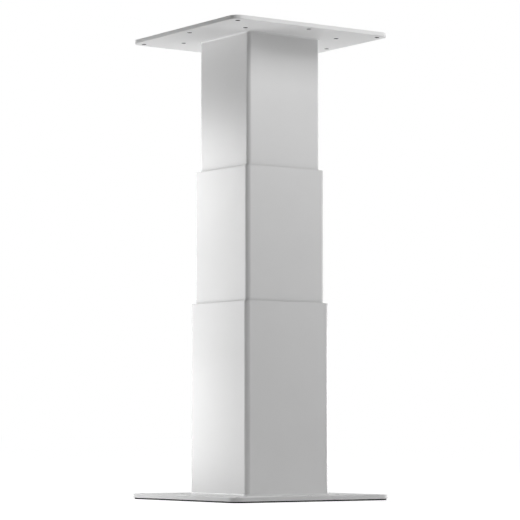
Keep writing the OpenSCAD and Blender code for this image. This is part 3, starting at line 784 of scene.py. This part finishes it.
def outline_walk(width, radius, spacing):
    """Points (place, outward direction) at an even spacing round a rounded square."""
    flat = width - 2 * radius
    quarter_arc = math.pi / 2 * radius
    flat_count = round(flat / spacing)
    arc_count = max(WELD_CORNER_STEPS, round(quarter_arc / spacing))
    found = []
    for quarter in range(4):
        turn = math.pi / 2 * quarter
        out = Vector((math.cos(turn), math.sin(turn), 0))
        along = Vector((-math.sin(turn), math.cos(turn), 0))
        for i in range(flat_count):
            found.append((out * width / 2 + along * (flat * i / flat_count - flat / 2), out))
        corner = out * (width / 2 - radius) + along * (width / 2 - radius)
        for i in range(arc_count):
            angle = math.pi / 2 * i / arc_count
            direction = out * math.cos(angle) + along * math.sin(angle)
            found.append((corner + direction * radius, direction))
    return found


def weld_bead(name, tube, z, side):
    """A fillet bead from the tube's wall to the plate, with the ripples that welding leaves.

    side is 1 where the plate is below the bead and -1 where it is above.
    """
    spacing = WELD_PITCH / WELD_RIPPLE_STEPS
    mesh = bmesh.new()
    sections = []
    travelled = 0.0
    previous = None
    for place, out in outline_walk(box_width(tube), TUBE_CORNER_R[tube], spacing):
        if previous is not None:
            travelled += (place - previous).length
        previous = place
        ripple = WELD_RIPPLE * (abs(math.sin(math.pi * travelled / WELD_PITCH)) - 1)
        section = []
        for i in range(WELD_SECTION_STEPS + 1):
            share = i / WELD_SECTION_STEPS
            arch = math.sin(math.pi * share)
            hollow = WELD_HOLLOW * arch
            reach = max(0.0, (1 - share - hollow) * WELD_LEG + ripple * arch)
            rise = max(0.0, (share - hollow) * WELD_LEG + ripple * arch)
            point = place + out * reach + Z_AXIS * side * rise
            section.append(mesh.verts.new((point.x, point.y, z + point.z)))
        section.append(mesh.verts.new((place.x, place.y, z)))
        sections.append(section)
    for section, following in zip(sections, sections[1:] + sections[:1]):
        bridge(mesh, section, following)
    return finish_mesh(mesh, name)


def build_welds():
    base = weld_bead("base_weld_finish", "lower_tube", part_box("base_plate")[1].z, 1)
    dress(base, "base", "white_coat", "base_weld")
    top = weld_bead("top_weld_finish", "upper_tube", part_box("top_plate")[0].z, -1)
    dress(top, "upper", "white_coat", "top_weld")


# ---- guide rings ----

def build_guide_rings():
    """Rings in the tubes' mouths, a hair below the rim, with a chamfer for the next tube."""
    for node, body, outside, inside in (
        ("lower_guide_ring", "base", "lower_tube", "middle_tube"),
        ("middle_guide_ring", "middle", "middle_tube", "upper_tube"),
    ):
        low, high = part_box(node)
        top = high.z - RING_BELOW_RIM
        outer_w = high.x - low.x
        outer_r = TUBE_CORNER_R[outside] - WALL
        inner_w = box_width(inside) + 2 * SLIDE_GAP
        inner_r = TUBE_CORNER_R[inside] + SLIDE_GAP
        mesh = bmesh.new()
        pipe(
            mesh,
            squares([
                (outer_w, outer_r, low.z),
                (outer_w, outer_r, top - RIM_R),
                (outer_w - 2 * RIM_R, outer_r - RIM_R, top),
            ]),
            squares([
                (inner_w, inner_r, low.z),
                (inner_w, inner_r, top - RING_CHAMFER),
                (inner_w + 2 * RING_LEAD_IN, inner_r + RING_LEAD_IN, top),
            ]),
        )
        made = finish_mesh(mesh, node + "_finish")
        flat_faces_stay_flat(made)
        dress(made, body, "guide_plastic", node)


# ---- countersunk screws ----

def build_upright_screws():
    """The gear cover's screws, and those that hold the gear case from under the base plate."""
    for node, shank_r, turn in (
        ("cover_screws", M4_R, Matrix()),
        ("drive_screws", M5_R, UPSIDE_DOWN),
    ):
        low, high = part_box(node)
        head_z = low.z if turn is UPSIDE_DOWN else high.z
        mesh = bmesh.new()
        for x, y in screw_corners(node, SUNK_HEAD * shank_r):
            place = Matrix.Translation((x, y, head_z)) @ turn
            sunk_screw(mesh, place, shank_r, high.z - low.z)
        dress(finish_mesh(mesh, node + "_finish"), "base", "zinc_plate", node)


def build_wall_screws():
    """The screws that hold the brackets in the moving tubes."""
    for stage, length in (("middle", MIDDLE_WALL_SCREW), ("upper", UPPER_WALL_SCREW)):
        node = stage + "_bracket_screws"
        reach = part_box(node)[1].x
        mesh = bmesh.new()
        for quarter in range(4):
            place = side_place(quarter, reach, 0, box_centre(node)[2])
            sunk_screw(mesh, place, M4_R, length)
        dress(finish_mesh(mesh, node + "_finish"), stage, "zinc_plate", node)


# ---- power inlet, made round the Z axis with the tube's wall at height 0 ----

def inlet_span(node):
    """Heights of an inlet node's ends above the tube's wall."""
    low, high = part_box(node)
    wall_y = inlet_place().translation.y
    return low.y - wall_y, high.y - wall_y


def build_inlet_socket():
    back, front = inlet_span("inlet_socket")
    bore_z, _ = inlet_span("inlet_insert")
    mesh = bmesh.new()
    holes = [((0, 0), [(INLET_BARREL_R, 0), (INLET_BARREL_R, INLET_FLANGE_T)])]
    holes += [
        (corner, [(INLET_SCREW_R, 0), (INLET_SCREW_R, INLET_FLANGE_T)])
        for corner in four_corners(INLET_SCREW_AT)
    ]
    width = box_width("inlet_socket")
    plate_shell(mesh, width, INLET_CORNER_R, 0, INLET_FLANGE_T, INLET_BEVEL, holes)
    barrel_low, barrel_high = stack(mesh, circles([
        (INLET_BARREL_R - INLET_BEVEL, back),
        (INLET_BARREL_R, back + INLET_BEVEL),
        (INLET_BARREL_R, INLET_FLANGE_T),
    ], SPINDLE_STEPS))
    mesh.faces.new(barrel_low)
    thread_low, thread_high = thread(
        mesh, crest_r=INLET_COLLAR_R, depth=INLET_COLLAR_DEPTH, pitch=INLET_COLLAR_PITCH,
        starts=1, z0=INLET_FLANGE_T, z1=front - INLET_BEVEL, steps=SPINDLE_STEPS)
    bridge(mesh, barrel_high, thread_low)
    mouth_low, bore_floor = stack(mesh, circles([
        (INLET_COLLAR_R - 2 * INLET_BEVEL, front),
        (INLET_BORE_R + INLET_BEVEL / 2, front),
        (INLET_BORE_R, front - INLET_BEVEL / 2),
        (INLET_BORE_R, bore_z),
    ], SPINDLE_STEPS))
    bridge(mesh, thread_high, mouth_low)
    mesh.faces.new(bore_floor)
    place_new(mesh, 0, inlet_place())
    socket = finish_mesh(mesh, "inlet_socket_finish")
    dress(socket, "base", "zinc_plate", "inlet_socket")


def build_inlet_screws():
    back, front = inlet_span("inlet_screws")
    head = [
        (INLET_SCREW_R, -INLET_HEAD_H),
        (INLET_HEAD_R, -INLET_HEAD_H),
        (INLET_HEAD_R, -INLET_BEVEL),
        (INLET_HEAD_R - INLET_BEVEL, 0),
    ]
    mesh = bmesh.new()
    for x, y in four_corners(INLET_SCREW_AT):
        seat = inlet_place() @ Matrix.Translation((x, y, INLET_FLANGE_T + INLET_HEAD_H))
        screw(
            mesh, seat, INLET_SCREW_R, front - back, INLET_SCREW_PITCH, head,
            INLET_SOCKET_R, INLET_SOCKET_DEPTH)
    screws = finish_mesh(mesh, "inlet_screws_finish")
    dress(screws, "base", "zinc_plate", "inlet_screws")


def build_inlet_pins():
    foot, tip = inlet_span("inlet_pins")
    outline = [(CONTACT_R, foot)]
    for angle in CONTACT_DOME:
        outline.append((CONTACT_R * math.cos(angle), tip - CONTACT_R * (1 - math.sin(angle))))
    mesh = bmesh.new()
    for quarter in range(4):
        turn = Matrix.Rotation(math.pi / 4 + math.pi / 2 * quarter, 4, "Z")
        place = inlet_place() @ turn @ Matrix.Translation((CONTACT_AT, 0, 0))
        rod(mesh, place, circles(outline))
    pins = finish_mesh(mesh, "inlet_pins_finish")
    dress(pins, "base", "contact_brass", "inlet_pins")


# ---- spindles ----

def spindle_thread(mesh, crest_r, z0, z1):
    return thread(
        mesh, crest_r=crest_r, depth=SPINDLE_THREAD_DEPTH, pitch=SPINDLE_PITCH,
        starts=SPINDLE_STARTS, z0=z0, z1=z1, steps=SPINDLE_STEPS)


def finish_spindle(mesh, node, body):
    """Moves a spindle made round the Z axis to its own axis, and dresses it."""
    place_new(mesh, 0, Matrix.Translation((box_centre(node)[0], 0, 0)))
    dress(finish_mesh(mesh, node + "_finish"), body, "bright_steel", node)


def build_lower_spindle():
    low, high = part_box("lower_spindle")
    crest_r = (high.x - low.x) / 2
    thread_z0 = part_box("gear_cover")[1].z
    thread_z1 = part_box("drive_dog")[0].z
    journal_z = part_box("spindle_gear")[0].z - JOURNAL_BELOW_GEAR
    mesh = bmesh.new()
    foot_low, foot_high = stack(mesh, circles([
        (FOOT_PIN_R - LOWER_BEVEL, low.z),
        (FOOT_PIN_R, low.z + LOWER_BEVEL),
        (FOOT_PIN_R, journal_z),
        (JOURNAL_R, journal_z),
        (JOURNAL_R, thread_z0),
    ], SPINDLE_STEPS))
    mesh.faces.new(foot_low)
    thread_low, thread_high = spindle_thread(mesh, crest_r, thread_z0, thread_z1)
    bridge(mesh, foot_high, thread_low)
    top_low, top_high = stack(mesh, circles([
        (DOG_PIN_R, thread_z1),
        (DOG_PIN_R, high.z - LOWER_BEVEL),
        (DOG_PIN_R - LOWER_BEVEL, high.z),
    ], SPINDLE_STEPS))
    bridge(mesh, thread_high, top_low)
    mesh.faces.new(top_high)
    finish_spindle(mesh, "lower_spindle", "lower_screw")


def keyed_bore():
    """The hollow spindle's bore with its two keyways, with as many points as its outside."""
    half = KEYWAY_W / 2
    corner = math.degrees(math.asin(half / HOLLOW_BORE_R))
    edge = HOLLOW_BORE_R * math.cos(math.radians(corner))
    notch = [(edge, -half), (KEYWAY_R, -half), (KEYWAY_R, 0), (KEYWAY_R, half), (edge, half)]
    arc_steps = SPINDLE_STEPS // 2 - len(notch) + 1
    points = notch + arc((0, 0), HOLLOW_BORE_R, corner, 180 - corner, arc_steps)[1:-1]
    points += [(-x, -y) for x, y in points]
    # Starts at the middle of the first keyway, beside the outside's first point
    return points[2:] + points[:2]


def build_upper_spindle():
    low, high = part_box("upper_spindle")
    collar_r = (high.x - low.x) / 2
    seat_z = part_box("bearing_retainer")[0].z
    collar_z = seat_z + COLLAR_T
    clip_low, clip_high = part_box("spindle_circlip")
    groove_z0 = clip_low.z - CLIP_PLAY
    groove_z1 = clip_high.z + CLIP_PLAY
    groove_r = HOLLOW_JOURNAL_R - CLIP_DEPTH
    mesh = bmesh.new()
    outer_low, collar_top = stack(mesh, circles([
        (HOLLOW_JOURNAL_R - UPPER_BEVEL, low.z),
        (HOLLOW_JOURNAL_R, low.z + UPPER_BEVEL),
        (HOLLOW_JOURNAL_R, groove_z0),
        (groove_r, groove_z0),
        (groove_r, groove_z1),
        (HOLLOW_JOURNAL_R, groove_z1),
        (HOLLOW_JOURNAL_R, seat_z),
        (collar_r - UPPER_BEVEL, seat_z),
        (collar_r, seat_z + UPPER_BEVEL),
        (collar_r, collar_z - UPPER_BEVEL),
        (collar_r - UPPER_BEVEL, collar_z),
    ], SPINDLE_STEPS))
    thread_low, thread_high = spindle_thread(mesh, HOLLOW_R, collar_z, high.z)
    bridge(mesh, collar_top, thread_low)
    bore_low, bore_high = stack(mesh, [(keyed_bore(), low.z), (keyed_bore(), high.z)])
    bridge(mesh, outer_low, bore_low)
    bridge(mesh, thread_high, bore_high)
    finish_spindle(mesh, "upper_spindle", "upper_screw")


build_plates()
build_tubes()
build_welds()
build_guide_rings()
build_upright_screws()
build_wall_screws()
build_inlet_socket()
build_inlet_screws()
build_inlet_pins()
build_lower_spindle()
build_upper_spindle()

# ---- the CAD pieces that show as they are: each gets the finish that its slot names ----

for node in frame["nodes"].values():
    slot_name = node.data.materials[0].name.split(".")[0]
    node.data.materials[0] = materials[slot_name]

# ---- camera ----

# Where it stands, turned from -Y towards -X, and how far it looks up, all fitted to the
# proportions in the photograph
CAMERA_AZIMUTH = math.radians(34.978)
CAMERA_DISTANCE = 3.4675
CAMERA_HEIGHT = 0.0984
CAMERA_ASIDE = 0.0008
CAMERA_TILT = math.radians(4.262)
# In millimetres
CAMERA_LENS = 160.78
CAMERA_SENSOR = 36


def add_looking(name, data, location, direction):
    """Puts a camera or a lamp in the scene, looking in that direction."""
    made = bpy.data.objects.new(name, data)
    bpy.context.scene.collection.objects.link(made)
    made.location = location
    made.rotation_mode = "QUATERNION"
    made.rotation_quaternion = direction.to_track_quat("-Z", "Y")
    return made


def build_camera():
    back = Vector((-math.sin(CAMERA_AZIMUTH), -math.cos(CAMERA_AZIMUTH), 0))
    right = Vector((math.cos(CAMERA_AZIMUTH), -math.sin(CAMERA_AZIMUTH), 0))
    forward = -back * math.cos(CAMERA_TILT) + Z_AXIS * math.sin(CAMERA_TILT)
    location = back * CAMERA_DISTANCE + right * CAMERA_ASIDE + Z_AXIS * CAMERA_HEIGHT
    data = bpy.data.cameras.new("camera")
    data.lens = CAMERA_LENS
    data.sensor_width = CAMERA_SENSOR
    bpy.context.scene.camera = add_looking("camera", data, location, forward)


# ---- floor, world and lamps ----

FLOOR_SIZE = 60.0
FLOOR_SEGMENTS = 8
FLOOR_COLOR = 0.80
FLOOR_ROUGHNESS = 0.9
# The floor's own brightness beside the column, where its shadow shows. It grows to pure white
# over this range of distances.
FLOOR_GLOW_NEAR = 0.62
FLOOR_GLOW_REACH = (0.35, 1.3)

# Area lamps that face the middle of the column.
# name: (azimuth in degrees from +X, distance, height of its centre, width, tallness, watts)
LAMPS = {
    "left_wide": (110, 1.6, 0.5, 0.9, 0.6, 6.5),
    "left_middle": (125, 1.1, 0.5, 0.45, 0.4, 1.25),
    "left_upper": (115, 1.1, 0.6, 0.45, 0.2, 0.85),
    "left_low": (120, 1.1, 0.12, 0.3, 0.2, 0.85),
    "left_near": (115, 0.6, 0.15, 0.3, 0.3, 0.52),
    "left_side": (150, 0.6, 0.15, 0.3, 0.3, 0.65),
    "right_wide": (345, 1.6, 0.12, 0.9, 0.4, 12.8),
    "right_low": (10, 1.1, 0.12, 0.45, 0.4, 2.2),
    "right_front": (270, 1.0, 1.2, 0.5, 0.5, 5.6),
    "right_top": (270, 1.0, 1.9, 0.5, 0.5, 1.5),
    "right_near": (285, 0.7, 0.8, 0.3, 0.3, 0.7),
    "overhead": (0, 0.0, 1.2, 0.4, 0.4, 1.6),
}


def background_rays(tree):
    """1 for the rays that should meet a white background, and 0 for those that carry light."""
    path = tree.nodes.new("ShaderNodeLightPath")
    total = path.outputs["Is Camera Ray"]
    for kind in ("Is Glossy Ray", "Is Transmission Ray"):
        add = tree.nodes.new("ShaderNodeMath")
        add.operation = "ADD"
        add.use_clamp = True
        tree.links.new(total, add.inputs[0])
        tree.links.new(path.outputs[kind], add.inputs[1])
        total = add.outputs["Value"]
    return total


def floor_glow(tree):
    """The strength of the floor's own light at each place, for the rays of the background."""
    place = tree.nodes.new("ShaderNodeTexCoord").outputs["Object"]
    distance = tree.nodes.new("ShaderNodeVectorMath")
    distance.operation = "LENGTH"
    tree.links.new(place, distance.inputs[0])
    level = add_node(tree, "ShaderNodeMapRange", {
        "From Min": FLOOR_GLOW_REACH[0],
        "From Max": FLOOR_GLOW_REACH[1],
        "To Min": FLOOR_GLOW_NEAR,
        "To Max": 1.0,
    })
    level.interpolation_type = "SMOOTHSTEP"
    tree.links.new(distance.outputs["Value"], level.inputs["Value"])
    scale = tree.nodes.new("ShaderNodeMath")
    scale.operation = "MULTIPLY"
    tree.links.new(background_rays(tree), scale.inputs[0])
    tree.links.new(level.outputs["Result"], scale.inputs[1])
    return scale.outputs["Value"]


def floor_material():
    material = bpy.data.materials.new("floor")
    material.use_nodes = True
    tree = material.node_tree
    shader = tree.nodes["Principled BSDF"]
    shader.inputs["Base Color"].default_value = (FLOOR_COLOR, FLOOR_COLOR, FLOOR_COLOR, 1)
    shader.inputs["Roughness"].default_value = FLOOR_ROUGHNESS
    shader.inputs["Specular IOR Level"].default_value = 0.0
    glow = tree.nodes.new("ShaderNodeEmission")
    tree.links.new(floor_glow(tree), glow.inputs["Strength"])
    both = tree.nodes.new("ShaderNodeAddShader")
    tree.links.new(shader.outputs["BSDF"], both.inputs[0])
    tree.links.new(glow.outputs["Emission"], both.inputs[1])
    tree.links.new(both.outputs["Shader"], tree.nodes["Material Output"].inputs["Surface"])
    return material


def build_floor():
    mesh = bmesh.new()
    bmesh.ops.create_grid(
        mesh, x_segments=FLOOR_SEGMENTS, y_segments=FLOOR_SEGMENTS, size=FLOOR_SIZE / 2)
    floor = finish_mesh(mesh, "floor")
    floor.data.materials.append(floor_material())


def build_world():
    world = bpy.data.worlds.new("studio")
    bpy.context.scene.world = world
    world.use_nodes = True
    tree = world.node_tree
    shader = tree.nodes["Background"]
    shader.inputs["Color"].default_value = (1, 1, 1, 1)
    tree.links.new(background_rays(tree), shader.inputs["Strength"])


def build_lamps():
    middle = Vector((0, 0, (cad_box[0].z + cad_box[1].z) / 2))
    for name, (azimuth, distance, height, width, tallness, watts) in LAMPS.items():
        light = bpy.data.lights.new(name, "AREA")
        light.shape = "RECTANGLE"
        light.size = width
        light.size_y = tallness
        light.energy = watts
        location = Vector((*polar(distance, math.radians(azimuth)), height))
        lamp = add_looking(name, light, location, middle - location)
        lamp.visible_camera = False


build_camera()
build_floor()
build_world()
build_lamps()
bpy.context.scene.view_settings.view_transform = "Standard"
